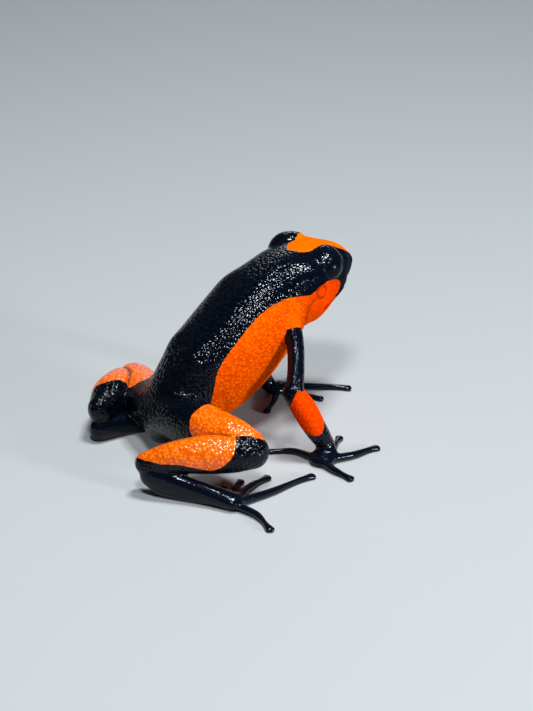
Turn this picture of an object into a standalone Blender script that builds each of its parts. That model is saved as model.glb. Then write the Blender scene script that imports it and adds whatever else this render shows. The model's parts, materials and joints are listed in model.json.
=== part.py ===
"""A harlequin poison frog at life size, sitting with its chest raised, as a still museum model.

Metres, +Z up. The frog faces -Y, so its left side is +X. It rests on the floor at Z = 0.
"""
import math

import bmesh
import bpy
import numpy as np
from mathutils import Vector

for old in list(bpy.data.objects):
    bpy.data.objects.remove(old, do_unlink=True)

MM = 0.001
GAP = 0.3 * MM  # left between neighbouring pieces of the body

# The sizes that the rest is worked out from, in millimetres, of a frog 35 mm from snout to vent.
HEAD_HALF_WIDTH = 5.4
TRUNK_HALF_WIDTH = 5.7
EYE_RADIUS = 1.75
EYE_SOCKET_RADIUS = 2.0
LID_RADIUS = 2.3
LID_STRETCH = 1.12  # how much longer a lid is along the head
LID_AROUND, LID_RINGS = 20, 12
EYE_AROUND, EYE_RINGS = 18, 12
TYMPANUM_RADIUS = 0.75
TYMPANUM_AROUND, TYMPANUM_RINGS = 12, 8
NOSTRIL_AROUND, NOSTRIL_RINGS = 8, 6
THIGH_RADIUS = 2.8
SHANK_RADIUS = 2.2
TARSUS_RADIUS = 1.1
UPPER_ARM_RADIUS = 1.15
FOREARM_RADIUS = 1.5
DIGIT_RADIUS = 0.42
DISC_HALF_WIDTH = 0.62
SHARP_ANGLE = math.radians(40)

frog = bpy.data.collections.new("harlequin_poison_frog")
cutters = bpy.data.collections.new("cutters")
for group in (frog, cutters):
    bpy.context.scene.collection.children.link(group)


def skin(name, colour, roughness):
    """A plain Principled material for one kind of surface."""
    made = bpy.data.materials.new(name)
    made.use_nodes = True
    shader = made.node_tree.nodes["Principled BSDF"]
    shader.inputs["Base Color"].default_value = (*colour, 1.0)
    shader.inputs["Roughness"].default_value = roughness
    shader.inputs["Metallic"].default_value = 0.0
    return made


BLACK = skin("black_skin", (0.006, 0.006, 0.010), 0.3)
ORANGE = skin("orange_skin", (0.90, 0.16, 0.005), 0.45)
EYE = skin("eye", (0.004, 0.004, 0.006), 0.05)


def spot(forward, left, up):
    """A point given in millimetres ahead of the hips, to the frog's left, and above the floor."""
    return Vector((left, -forward, up)) * MM


# A body form is a ball primitive whose rings are laid along a smooth line through a few sections.
# A section is (forward, left, up, half width, rise above the line, drop below it) in millimetres.
def smooth_sections(sections, count):
    """Sections read evenly off a cubic curve through the given ones."""
    rows = np.array(sections, float)
    steps = np.linalg.norm(np.diff(rows[:, :3], axis=0), axis=1)
    at = np.concatenate([[0.0], np.cumsum(steps)])
    slopes = np.gradient(rows, at, axis=0)
    read = []
    for where in np.linspace(0.0, at[-1], count):
        i = min(int(np.searchsorted(at, where, side="right")) - 1, len(rows) - 2)
        span = at[i + 1] - at[i]
        s = (where - at[i]) / span
        read.append(
            (2 * s**3 - 3 * s**2 + 1) * rows[i]
            + (s**3 - 2 * s**2 + s) * span * slopes[i]
            + (3 * s**2 - 2 * s**3) * rows[i + 1]
            + (s**3 - s**2) * span * slopes[i + 1]
        )
    return np.array(read)


def section_frames(sections, over):
    """For each section: its centre, its side and upright directions, and the way the line runs."""
    centres = [spot(*row[:3]) for row in sections]
    frames = []
    for i, centre in enumerate(centres):
        onward = (centres[min(i + 1, len(centres) - 1)] - centres[max(i - 1, 0)]).normalized()
        side = Vector(over).cross(onward).normalized()
        frames.append((centre, side, onward.cross(side), onward))
    return frames


def rim_point(frame, row, angle, squareness=2.0, grow=0.0):
    """A point on a section's rim; angle 0 is its side, a quarter turn its top."""
    centre, side, upright, _ = frame
    across, height = math.cos(angle), math.sin(angle)
    power = 2.0 / squareness
    wide = math.copysign(abs(across) ** power, across) * row[3] * MM
    tall = math.copysign(abs(height) ** power, height) * (row[4] if height > 0 else row[5]) * MM
    shift = side * wide + upright * tall
    return centre + shift * (1.0 + grow / max(shift.length, 1e-6))


def form(name, sections, around=14, along=12, caps=(1.0, 1.0), over=(0, 0, 1), squareness=2.0,
         grow=0.0, cap_rings=3):
    """A closed rounded form along its sections. caps gives each end's length, as a share of its radius."""
    rows = smooth_sections(sections, along)
    frames = section_frames(rows, over)
    mesh = bmesh.new()
    bmesh.ops.create_uvsphere(mesh, u_segments=around, v_segments=along - 1 + 2 * cap_rings, radius=1.0)
    rings = {}
    for corner in mesh.verts:
        rings.setdefault(round(corner.co.z, 5), []).append(corner)
    levels = sorted(rings)
    for level, z in enumerate(levels):
        into_start = cap_rings - level
        into_end = level - (len(levels) - 1 - cap_rings)
        index = min(max(level - cap_rings, 0), along - 1)
        depth = max(into_start, into_end, 0) / cap_rings
        shrink = math.cos(depth * math.pi / 2)
        end = 0 if into_start > 0 else 1
        radius = (rows[index][3] + 0.5 * (rows[index][4] + rows[index][5])) / 2 * MM
        reach = math.sin(depth * math.pi / 2) * (radius * caps[end] + grow) * (-1 if end == 0 else 1)
        for corner in rings[z]:
            angle = math.atan2(corner.co.y, corner.co.x)
            rim = rim_point(frames[index], rows[index], angle, squareness, grow)
            centre = frames[index][0]
            corner.co = centre + (rim - centre) * shrink + frames[index][3] * (reach if depth else 0.0)
    bmesh.ops.remove_doubles(mesh, verts=mesh.verts, dist=0.001 * MM)
    face_outward(mesh)
    return as_object(name, mesh)


def ball(name, centre, radii, axes, around=16, rings=10):
    """An ellipsoid with its three radii, in millimetres, along three directions."""
    mesh = bmesh.new()
    bmesh.ops.create_uvsphere(mesh, u_segments=around, v_segments=rings, radius=1.0)
    for corner in mesh.verts:
        corner.co = centre + sum(
            (Vector(axis) * radius * MM * share for axis, radius, share in zip(axes, radii, corner.co)),
            Vector(),
        )
    face_outward(mesh)
    return as_object(name, mesh)


def face_outward(mesh):
    """Turns the faces so that all of them look out of the closed surface."""
    bmesh.ops.recalc_face_normals(mesh, faces=mesh.faces)
    if mesh.calc_volume(signed=True) < 0.0:
        bmesh.ops.reverse_faces(mesh, faces=mesh.faces)


def as_object(name, mesh):
    made = bpy.data.meshes.new(name)
    mesh.to_mesh(made)
    mesh.free()
    thing = bpy.data.objects.new(name, made)
    frog.objects.link(thing)
    return thing


def largest_surface(mesh):
    """Drops every loose scrap but the largest closed surface."""
    left = set(mesh.verts)
    shells = []
    while left:
        shell = {left.pop()}
        to_visit = list(shell)
        while to_visit:
            corner = to_visit.pop()
            for edge in corner.link_edges:
                other = edge.other_vert(corner)
                if other in left:
                    left.remove(other)
                    shell.add(other)
                    to_visit.append(other)
        shells.append(shell)
    for shell in sorted(shells, key=len)[:-1]:
        bmesh.ops.delete(mesh, geom=list(shell), context="VERTS")


def boolean(thing, tools, operation):
    """Joins the tools to a piece, or cuts them out of it, and removes them."""
    group = bpy.data.collections.new("tools")
    cutters.children.link(group)
    for tool in tools:
        for owner in list(tool.users_collection):
            owner.objects.unlink(tool)
        group.objects.link(tool)
    step = thing.modifiers.new(operation.lower(), "BOOLEAN")
    step.operation = operation
    step.operand_type = "COLLECTION"
    step.collection = group
    step.solver = "EXACT"
    bpy.context.view_layer.update()
    evaluated = thing.evaluated_get(bpy.context.evaluated_depsgraph_get())
    mesh = bmesh.new()
    mesh.from_mesh(evaluated.to_mesh())
    thing.modifiers.clear()
    largest_surface(mesh)
    mesh.to_mesh(thing.data)
    mesh.free()
    for tool in tools:
        bpy.data.objects.remove(tool, do_unlink=True)
    bpy.data.collections.remove(group)


def slice_off(thing, point, normal):
    """Cuts a piece by a plane, drops what lies on the normal's side, and closes the cut."""
    mesh = bmesh.new()
    mesh.from_mesh(thing.data)
    everything = mesh.verts[:] + mesh.edges[:] + mesh.faces[:]
    bmesh.ops.bisect_plane(
        mesh, geom=everything, dist=0.0005 * MM, plane_co=point, plane_no=normal, clear_outer=True
    )
    bmesh.ops.holes_fill(mesh, edges=[e for e in mesh.edges if e.is_boundary], sides=0)
    bmesh.ops.triangulate(mesh, faces=[f for f in mesh.faces if len(f.verts) > 4])
    largest_surface(mesh)
    face_outward(mesh)
    mesh.to_mesh(thing.data)
    mesh.free()


def finish(thing, material):
    thing.data.materials.append(material)
    thing.data.shade_smooth()
    thing.data.set_sharp_from_angle(angle=SHARP_ANGLE)


# Trunk and head: one form from the vent to the snout, parted at the neck.
# The trunk climbs steeply from the hips; the head bends down to the level and turns to the left.
VENT = (0.4, 0.0, 3.0, 2.6, 1.8, 2.9)
RUMP = (0.3, 0.0, 4.8, 3.2, 2.1, 3.9)
PELVIS = (1.1, 0.0, 6.8, 3.5, 2.3, 5.0)
HIPS = (3.0, 0.1, 8.6, 4.2, 2.9, 6.6)
LOIN = (5.7, 0.4, 10.5, 5.0, 3.8, 7.8)
WAIST = (8.7, 0.9, 12.6, 5.6, 4.2, 8.0)
CHEST = (11.9, 1.6, 14.8, TRUNK_HALF_WIDTH, 4.4, 7.6)
SHOULDERS = (14.9, 2.5, 16.5, 5.4, 4.3, 7.0)
NECK = (17.4, 3.4, 17.7, 5.2, 3.9, 6.4)
JAW = (19.8, 4.2, 18.5, HEAD_HALF_WIDTH, 3.5, 6.7)
EYE_LINE = (22.2, 4.95, 18.8, 5.1, 3.25, 6.2)
BEFORE_EYES = (24.5, 5.6, 18.8, 4.3, 2.9, 5.2)
NOSTRILS = (26.4, 6.2, 18.6, 3.2, 2.2, 4.2)
SNOUT = (27.5, 6.5, 18.3, 2.3, 1.5, 2.7)
BODY_LINE = (VENT, RUMP, PELVIS, HIPS, LOIN, WAIST, CHEST, SHOULDERS, NECK, JAW, EYE_LINE,
             BEFORE_EYES, NOSTRILS, SNOUT)
BODY_AROUND = 28
BODY_ALONG = 34
BODY_SQUARENESS = 2.15
BODY_CAPS = (0.6, 0.45)
BODY_OVER = (0, 0.35, 1)  # the way a body section's top faces: up, and back where the line stands


def body_form(name, grow=0.0):
    return form(name, BODY_LINE, BODY_AROUND, BODY_ALONG, BODY_CAPS, BODY_OVER, BODY_SQUARENESS, grow)


NECK_POINT = spot(*NECK[:3])
NECK_WAY = (spot(*JAW[:3]) - spot(*SHOULDERS[:3])).normalized()
torso = body_form("torso")
slice_off(torso, NECK_POINT - NECK_WAY * GAP / 2, NECK_WAY)
head = body_form("head")
slice_off(head, NECK_POINT + NECK_WAY * GAP / 2, -NECK_WAY)

# Head features. The head's own directions, turned to the left of the trunk.
MID_EYES = spot(22.25, 5.1, 20.05)
FORWARD = (spot(*NOSTRILS[:3]) - spot(*JAW[:3])).normalized()
LEFT = Vector((0, 0, 1)).cross(FORWARD).normalized()
UP = FORWARD.cross(LEFT)
EYE_SPREAD = 4.15
EYE_OUT = (0.22, 0.93, 0.30)  # the way an eye looks: ahead, to its side, up
LID_SHIFT = 0.8  # how far a lid's middle lies inside the eye's
TYMPANUM = (-3.35, 4.85, -2.4)  # its middle from between the eyes: ahead, to its side, up
TYMPANUM_THICKNESS = 0.6
NOSTRIL = (0.1, 2.15, 0.75)  # its middle from the snout's, the same way
NOSTRIL_RADII = (0.28, 0.5, 0.25)


def head_spot(origin, ahead, aside, up):
    """A point in millimetres from another one, along the head's own directions."""
    return origin + (FORWARD * ahead + LEFT * aside + UP * up) * MM


head_parts = []
head_cuts = []
eyes = {}
for side_name, side in (("left", 1), ("right", -1)):
    out = (FORWARD * EYE_OUT[0] + LEFT * side * EYE_OUT[1] + UP * EYE_OUT[2]).normalized()
    ahead = (FORWARD - out * FORWARD.dot(out)).normalized()
    axes = (ahead, out, ahead.cross(out))
    eye_centre = head_spot(MID_EYES, 0.0, side * EYE_SPREAD, 0.0)
    lid = ball(f"lid_{side_name}", eye_centre - out * LID_SHIFT * MM,
               (LID_RADIUS * LID_STRETCH, LID_RADIUS, LID_RADIUS), axes, LID_AROUND, LID_RINGS)
    drum = ball(f"tympanum_{side_name}", head_spot(MID_EYES, TYMPANUM[0], side * TYMPANUM[1], TYMPANUM[2]),
                (TYMPANUM_RADIUS, TYMPANUM_THICKNESS, TYMPANUM_RADIUS), (FORWARD, LEFT, UP),
                TYMPANUM_AROUND, TYMPANUM_RINGS)
    socket = ball(f"socket_{side_name}", eye_centre, (EYE_SOCKET_RADIUS,) * 3, axes, LID_AROUND, LID_RINGS)
    nostril_centre = head_spot(spot(*SNOUT[:3]), NOSTRIL[0], side * NOSTRIL[1], NOSTRIL[2])
    nostril = ball(f"nostril_{side_name}", nostril_centre, NOSTRIL_RADII, (FORWARD, LEFT, UP),
                   NOSTRIL_AROUND, NOSTRIL_RINGS)
    head_parts += [lid, drum]
    head_cuts += [socket, nostril]
    eyes[side_name] = ball(f"eye_{side_name}", eye_centre, (EYE_RADIUS,) * 3, axes, EYE_AROUND, EYE_RINGS)
boolean(head, head_parts, "UNION")
boolean(head, head_cuts, "DIFFERENCE")

# The mouth: a groove round the snout from one jaw corner to the other.
MOUTH_ANGLE = math.radians(-33)  # below the widest line of each section
MOUTH_GROOVE_RADIUS = 0.17
MOUTH_CORNER = 0.76  # share of the body line at which the mouth's corner lies
MOUTH_SECTIONS = 60
LIP_TIP_AHEAD, LIP_TIP_DROP = 0.95, 1.3
mouth_rows = smooth_sections(BODY_LINE, MOUTH_SECTIONS)
mouth_frames = section_frames(mouth_rows, BODY_OVER)
corner_row = int(MOUTH_CORNER * MOUTH_SECTIONS)
one_side = [
    rim_point(mouth_frames[i], mouth_rows[i], MOUTH_ANGLE, BODY_SQUARENESS)
    for i in range(corner_row, MOUTH_SECTIONS)
]
other_side = [
    rim_point(mouth_frames[i], mouth_rows[i], math.pi - MOUTH_ANGLE, BODY_SQUARENESS)
    for i in range(corner_row, MOUTH_SECTIONS)
]
tip_centre, _, tip_upright, tip_onward = mouth_frames[-1]
lip_tip = tip_centre + (tip_onward * LIP_TIP_AHEAD - tip_upright * LIP_TIP_DROP) * MM
mouth_line = one_side + [lip_tip] + other_side[::-1]
mouth_curve = bpy.data.curves.new("mouth", "CURVE")
mouth_curve.dimensions = "3D"
mouth_curve.bevel_depth = MOUTH_GROOVE_RADIUS * MM
mouth_curve.bevel_resolution = 0
mouth_curve.use_fill_caps = True
spline = mouth_curve.splines.new("POLY")
spline.points.add(len(mouth_line) - 1)
for point, place in zip(spline.points, mouth_line):
    point.co = (*place, 1.0)
mouth_tube = bpy.data.objects.new("mouth_tube", mouth_curve)
cutters.objects.link(mouth_tube)
bpy.context.view_layer.update()
mouth_mesh = bmesh.new()
mouth_mesh.from_mesh(mouth_tube.evaluated_get(bpy.context.evaluated_depsgraph_get()).to_mesh())
bpy.data.objects.remove(mouth_tube, do_unlink=True)
bmesh.ops.remove_doubles(mouth_mesh, verts=mouth_mesh.verts, dist=0.001 * MM)
face_outward(mouth_mesh)
boolean(head, [as_object("mouth_cutter", mouth_mesh)], "DIFFERENCE")

finish(torso, BLACK)
finish(head, BLACK)
for eye in eyes.values():
    finish(eye, EYE)

# Hind legs. Each is folded: the thigh goes out from the hip, the shank comes back to the heel
# beside it, and the foot goes out again under the shank.
HIND_LEGS = {
    "right": {
        "thigh": [(0.2, -2.0, 5.7, 2.2, 2.4, 2.4), (1.8, -5.6, 6.5, THIGH_RADIUS, 2.9, 2.9),
                  (3.6, -9.6, 6.75, 2.5, 2.5, 2.6), (5.2, -12.8, 6.8, 2.1, 2.1, 2.2),
                  (6.0, -14.3, 6.6, 1.8, 1.8, 1.9)],
        "shank": [(6.2, -14.8, 5.9, 1.8, 1.9, 2.2), (4.0, -14.1, 5.7, 2.1, SHANK_RADIUS, 2.3),
                  (0.6, -12.5, 5.3, 2.0, 2.5, 2.1), (-2.8, -10.6, 4.7, 1.6, 2.0, 1.7),
                  (-5.0, -9.2, 4.0, 1.3, 1.4, 1.5)],
        "foot": [(-4.5, -9.8, 2.9, 1.4, 1.6, 1.8), (-3.7, -10.6, 2.5, 1.3, 1.6, 2.2),
                 (-2.2, -12.0, 1.9, TARSUS_RADIUS, 1.5, 1.9),
                 (0.8, -14.7, 1.35, 1.1, 1.1, 1.35), (2.9, -16.5, 0.95, 1.5, 0.85, 1.05)],
    },
    "left": {
        "thigh": [(0.4, 2.0, 5.4, 2.3, 2.3, 2.9), (1.1, 5.5, 4.8, THIGH_RADIUS, 2.1, 3.7),
                  (1.5, 9.5, 4.3, 2.9, 2.0, 3.6), (2.1, 12.9, 3.8, 2.4, 1.9, 2.7),
                  (2.4, 14.3, 3.4, 2.0, 1.8, 2.0)],
        "shank": [(2.4, 14.6, 2.4, 1.6, 1.6, 1.6), (0.9, 13.5, 3.1, SHANK_RADIUS, 2.0, 2.4),
                  (-0.6, 10.9, 4.1, 2.6, 2.2, 3.3), (-3.0, 8.2, 4.3, 2.5, 2.3, 2.9),
                  (-4.9, 6.4, 4.0, 1.6, 1.8, 2.0)],
        "foot": [(-5.3, 5.8, 1.7, 1.2, 1.3, 1.7), (-2.3, 6.0, 1.35, TARSUS_RADIUS, 1.55, 1.4),
                 (1.0, 5.5, 1.0, 1.1, 1.0, 1.0), (3.6, 5.1, 0.8, 1.5, 0.75, 0.9)],
    },
}
# Each toe's root, bend and tip on the floor, in millimetres ahead and to the left, inner toe first.
TOES = {
    "right": [((0.9, -13.9), (2.2, -12.9), (3.6, -12.0)), ((2.1, -15.0), (4.2, -13.1), (6.0, -11.6)),
              ((3.4, -16.0), (6.6, -13.4), (9.3, -12.0)), ((3.5, -16.6), (8.0, -15.7), (14.3, -13.9)),
              ((2.9, -17.0), (4.4, -20.2), (4.5, -23.4))],
    "left": [((3.4, 4.2), (4.6, 3.0), (5.7, 1.6)), ((4.4, 4.3), (6.5, 3.3), (8.6, 2.2)),
             ((4.9, 4.9), (8.0, 4.7), (11.2, 4.3)), ((4.7, 5.5), (9.0, 6.9), (14.0, 8.8)),
             ((3.9, 6.1), (5.9, 8.6), (7.2, 11.5))],
}
TOE_SHARES = (0.85, 0.9, 1.0, 1.05, 0.95)  # how stout each toe is

# Fore legs: the upper arm hangs from the shoulder, the forearm slopes forward to a flat hand.
FORE_LEGS = {
    "right": {
        "upper_arm": [(16.8, -1.7, 15.6, 1.4, 1.4, 1.4), (16.6, -4.0, 13.2, 1.2, 1.1, 1.15),
                      (15.7, -6.2, 11.0, UPPER_ARM_RADIUS, 1.05, 1.05), (14.8, -7.8, 9.0, 1.1, 1.1, 1.1)],
        "forearm": [(14.6, -7.8, 8.8, 1.2, 1.15, 1.4), (15.4, -8.4, 6.7, FOREARM_RADIUS, 1.75, 1.25),
                    (16.8, -9.4, 3.9, 1.4, 1.5, 1.25), (18.1, -9.9, 1.8, 1.05, 1.1, 1.1)],
        "hand": [(18.2, -9.9, 1.7, 1.05, 1.1, 1.1), (17.8, -10.4, 1.0, 1.5, 0.85, 1.0),
                 (16.8, -11.2, 0.7, 1.6, 0.7, 0.85)],
    },
    "left": {
        "upper_arm": [(15.0, 5.4, 15.4, 1.5, 1.5, 1.5), (15.4, 7.7, 13.2, 1.2, 1.2, 1.2),
                      (14.9, 9.1, 10.8, UPPER_ARM_RADIUS, 1.05, 1.05), (14.3, 9.8, 8.8, 1.1, 1.1, 1.1)],
        "forearm": [(14.2, 9.8, 8.6, 1.2, 1.2, 1.4), (15.5, 9.7, 6.5, FOREARM_RADIUS, 1.6, 1.5),
                    (17.4, 9.3, 3.8, 1.4, 1.4, 1.4), (18.6, 9.1, 1.9, 1.05, 1.1, 1.1)],
        "hand": [(18.7, 9.0, 1.7, 1.05, 1.1, 1.1), (19.4, 8.9, 1.0, 1.5, 0.85, 1.0),
                 (20.6, 8.8, 0.7, 1.6, 0.7, 0.85)],
    },
}
FINGERS = {
    "right": [((16.2, -10.0), (14.7, -7.4), (11.9, -6.0)), ((18.2, -10.2), (19.9, -8.4), (21.6, -6.4)),
              ((18.3, -11.4), (21.2, -11.4), (24.6, -10.6)), ((16.8, -12.2), (17.3, -14.2), (18.2, -16.4))],
    "left": [((19.6, 7.8), (18.2, 5.8), (16.4, 3.9)), ((20.9, 7.7), (22.4, 5.9), (24.2, 4.3)),
             ((21.9, 8.7), (24.8, 7.5), (28.8, 5.6)), ((21.5, 9.6), (23.2, 11.0), (25.0, 12.4))],
}
FINGER_SHARES = (0.9, 0.95, 1.05, 0.95)

FLOOR_POINT = Vector((0, 0, 0))
DOWN = Vector((0, 0, -1))
TOWARDS_HEAD = (0, -1, 0)  # the upright of a section on a limb that stands
LEG_AROUND, LEG_ALONG = 16, 10
FOOT_AROUND, FOOT_ALONG = 12, 8
UPPER_ARM_AROUND, FOREARM_AROUND, ARM_ALONG = 12, 14, 9
HAND_AROUND, HAND_ALONG = 12, 6
DIGIT_AROUND, DIGIT_ALONG, DIGIT_CAP_RINGS = 8, 8, 2
DIGIT_CAPS = (0.6, 0.9)
DIGIT_NECK = 1.0  # how far behind its tip a digit's disc begins, and how far its root runs into the sole
TOE_ROOT_HEIGHT = 0.75
FINGER_ROOT_HEIGHT = 0.7
BEND_HEIGHT, NECK_HEIGHT, TIP_HEIGHT = 0.50, 0.38, 0.30
ROOT_SAG = 0.9  # how high the root's end is, as a share of its height in the sole
ROOT_STOUT, ROOT_RISE = 1.2, 1.1  # sizes at the root, the bend and the neck, as shares of the digit's radius
BEND_STOUT, BEND_DROP = 1.05, 1.1
NECK_STOUT = 0.85
NECK_DROP, TIP_DROP = 0.45, 0.36


def digit(name, places, share, root_height):
    """A toe or finger: a slim form along the floor that widens into a flat disc at its tip."""
    root, bend, tip = (Vector(place) for place in places)
    inner = root - (bend - root).normalized() * DIGIT_NECK
    neck = tip - (tip - bend).normalized() * DIGIT_NECK
    slim = DIGIT_RADIUS * share
    disc = DISC_HALF_WIDTH * share
    rows = [
        (*inner, root_height, slim * ROOT_STOUT, slim * ROOT_RISE, slim * ROOT_STOUT),
        (*root, root_height * ROOT_SAG, slim * ROOT_STOUT, slim * ROOT_RISE, slim * ROOT_STOUT),
        (*bend, BEND_HEIGHT, slim * BEND_STOUT, slim, slim * BEND_DROP),
        (*neck, NECK_HEIGHT, slim * NECK_STOUT, slim * NECK_STOUT, NECK_DROP),
        (*tip, TIP_HEIGHT, disc, TIP_HEIGHT, TIP_DROP),
    ]
    return form(name, rows, DIGIT_AROUND, DIGIT_ALONG, DIGIT_CAPS, cap_rings=DIGIT_CAP_RINGS)


for side_name, leg in HIND_LEGS.items():
    thigh = form(f"thigh_{side_name}", leg["thigh"], LEG_AROUND, LEG_ALONG)
    shank = form(f"shank_{side_name}", leg["shank"], LEG_AROUND, LEG_ALONG)
    foot = form(f"foot_{side_name}", leg["foot"], FOOT_AROUND, FOOT_ALONG)
    toes = [
        digit("toe", places, share, TOE_ROOT_HEIGHT)
        for places, share in zip(TOES[side_name], TOE_SHARES)
    ]
    boolean(foot, toes, "UNION")
    shank_cutter = form("shank_cutter", leg["shank"], LEG_AROUND, LEG_ALONG, grow=GAP)
    boolean(foot, [shank_cutter], "DIFFERENCE")
    slice_off(foot, FLOOR_POINT, DOWN)
    shank_cutter = form("shank_cutter", leg["shank"], LEG_AROUND, LEG_ALONG, grow=GAP)
    foot_cutter = form("foot_cutter", leg["foot"], FOOT_AROUND, FOOT_ALONG, grow=GAP)
    boolean(thigh, [body_form("body_cutter", GAP), shank_cutter, foot_cutter], "DIFFERENCE")
    finish(thigh, ORANGE)
    finish(shank, ORANGE)
    finish(foot, BLACK)

for side_name, leg in FORE_LEGS.items():
    upper_arm = form(f"upper_arm_{side_name}", leg["upper_arm"], UPPER_ARM_AROUND, ARM_ALONG,
                     over=TOWARDS_HEAD)
    forearm = form(f"forearm_{side_name}", leg["forearm"], FOREARM_AROUND, ARM_ALONG, over=TOWARDS_HEAD)
    hand = form(f"hand_{side_name}", leg["hand"], HAND_AROUND, HAND_ALONG)
    fingers = [
        digit("finger", places, share, FINGER_ROOT_HEIGHT)
        for places, share in zip(FINGERS[side_name], FINGER_SHARES)
    ]
    boolean(hand, fingers, "UNION")
    forearm_cutter = form("forearm_cutter", leg["forearm"], FOREARM_AROUND, ARM_ALONG,
                          over=TOWARDS_HEAD, grow=GAP)
    boolean(hand, [forearm_cutter], "DIFFERENCE")
    slice_off(hand, FLOOR_POINT, DOWN)
    forearm_cutter = form("forearm_cutter", leg["forearm"], FOREARM_AROUND, ARM_ALONG,
                          over=TOWARDS_HEAD, grow=GAP)
    boolean(upper_arm, [body_form("body_cutter", GAP), forearm_cutter], "DIFFERENCE")
    finish(upper_arm, BLACK)
    finish(forearm, ORANGE)
    finish(hand, BLACK)

# The whole frog is moved so that the middle of its footprint is at the origin.
corners = np.array([corner.co for thing in frog.objects for corner in thing.data.vertices])
low, high = corners.min(axis=0), corners.max(axis=0)
to_middle = Vector((-(low[0] + high[0]) / 2, -(low[1] + high[1]) / 2, 0.0))
for thing in frog.objects:
    for corner in thing.data.vertices:
        corner.co += to_middle
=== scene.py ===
import json
import math

import bpy
import numpy as np
from mathutils import Matrix, Vector

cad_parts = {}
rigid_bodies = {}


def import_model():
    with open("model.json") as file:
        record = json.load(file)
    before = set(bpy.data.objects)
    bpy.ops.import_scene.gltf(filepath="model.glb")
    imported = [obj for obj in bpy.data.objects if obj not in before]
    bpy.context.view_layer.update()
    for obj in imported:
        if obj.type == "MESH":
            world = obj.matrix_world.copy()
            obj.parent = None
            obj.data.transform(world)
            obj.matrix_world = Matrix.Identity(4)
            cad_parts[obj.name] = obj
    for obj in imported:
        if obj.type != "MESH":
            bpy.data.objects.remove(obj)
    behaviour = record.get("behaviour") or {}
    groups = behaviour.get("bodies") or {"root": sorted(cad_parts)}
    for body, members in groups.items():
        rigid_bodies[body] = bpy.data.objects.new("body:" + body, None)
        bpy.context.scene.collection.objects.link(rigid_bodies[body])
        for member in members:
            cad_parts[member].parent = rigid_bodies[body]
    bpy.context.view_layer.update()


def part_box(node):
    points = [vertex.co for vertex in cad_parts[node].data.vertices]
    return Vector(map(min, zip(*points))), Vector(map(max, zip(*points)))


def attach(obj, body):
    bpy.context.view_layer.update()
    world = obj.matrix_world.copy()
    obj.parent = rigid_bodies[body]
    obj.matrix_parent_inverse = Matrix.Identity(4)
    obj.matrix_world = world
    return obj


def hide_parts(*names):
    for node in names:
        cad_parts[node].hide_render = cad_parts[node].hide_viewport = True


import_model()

# The place of the frog. Sizes are in millimetres ahead of the hips, to the frog's left and above the
# floor, and the frog's left eye fixes where the hips are in the frame.
MM = 0.001
EYES = {"left": (21.05, 9.07, 20.05), "right": (23.45, 1.13, 20.05)}


def arrow(forward, left, up):
    """A direction, or a place from the hips, of a frog that faces -Y."""
    return Vector((left, -forward, up))


eye_low, eye_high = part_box("eye_left")
HOME = (Vector(eye_low) + Vector(eye_high)) / 2 - arrow(*EYES["left"]) * MM

# The camera stands behind the frog's right side and looks down on it. The frog heads to the right in
# the picture and a little away. The picture is taken to be 533 by 711 pixels.
PICTURE_WIDTH, PICTURE_HEIGHT = 533, 711
LOOK_DOWN = math.radians(28)
HEADING_AWAY = math.radians(21)
CAMERA_DISTANCE = 260
PIXELS_A_MM = 8.15  # at that distance
HIPS_PIXEL = (155.3, 448.7)  # where the floor under the hips shows
to_right = arrow(math.cos(HEADING_AWAY), -math.sin(HEADING_AWAY), 0)
ahead = arrow(math.sin(HEADING_AWAY), math.cos(HEADING_AWAY), 0)
look = ahead * math.cos(LOOK_DOWN) - Vector((0, 0, math.sin(LOOK_DOWN)))
picture_up = to_right.cross(look)
past_hips = to_right * (PICTURE_WIDTH / 2 - HIPS_PIXEL[0])
over_hips = picture_up * (HIPS_PIXEL[1] - PICTURE_HEIGHT / 2)
aim = (past_hips + over_hips) / PIXELS_A_MM
camera_data = bpy.data.cameras.new("camera")
camera_data.sensor_width = 36
camera_data.lens = PIXELS_A_MM * CAMERA_DISTANCE * camera_data.sensor_width / PICTURE_HEIGHT
camera_data.clip_start = 0.01
camera = bpy.data.objects.new("camera", camera_data)
camera.location = HOME - look * CAMERA_DISTANCE * MM
camera.rotation_euler = (HOME + aim * MM - camera.location).to_track_quat("-Z", "Y").to_euler()
bpy.context.scene.collection.objects.link(camera)
bpy.context.scene.camera = camera


# The room is a plain pale floor under soft lamps: one over the frog, one behind its right side that
# makes the sheen on the shoulder, one low in front of its right side, and a weak one on the far side.
class Wire:
    """A socket in a material's nodes. Arithmetic on it adds Math nodes."""

    def __init__(self, tree, socket=None):
        self.tree = tree
        self.socket = socket

    def node(self, kind, settings=None, values=None, output=0):
        """Adds a node, sets it up, fills its sockets, and gives the wire out of it."""
        made = self.tree.nodes.new(kind)
        for name, value in (settings or {}).items():
            setattr(made, name, value)
        for name, value in (values or {}).items():
            if isinstance(value, Wire):
                self.tree.links.new(value.socket, made.inputs[name])
            else:
                made.inputs[name].default_value = value
        return Wire(self.tree, made.outputs[output])

    def math(self, operation, first, second):
        return self.node("ShaderNodeMath", {"operation": operation}, {0: first, 1: second})

    def __add__(self, other):
        return self.math("ADD", self, other)

    def __sub__(self, other):
        return self.math("SUBTRACT", self, other)

    def __mul__(self, other):
        return self.math("MULTIPLY", self, other)

    def __rsub__(self, other):
        return self.math("SUBTRACT", other, self)

    __radd__ = __add__
    __rmul__ = __mul__

    def step(self, low, high, to_low=0.0, to_high=1.0):
        """A soft step from one value to another as this wire goes from low to high."""
        return self.node(
            "ShaderNodeMapRange", {"interpolation_type": "SMOOTHSTEP"},
            {"Value": self, "From Min": low, "From Max": high, "To Min": to_low, "To Max": to_high},
        )

    def mix(self, first, second):
        """A colour between two, by this wire."""
        return self.node("ShaderNodeMix", {"data_type": "RGBA"}, {0: self, 6: first, 7: second}, 2)


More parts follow.
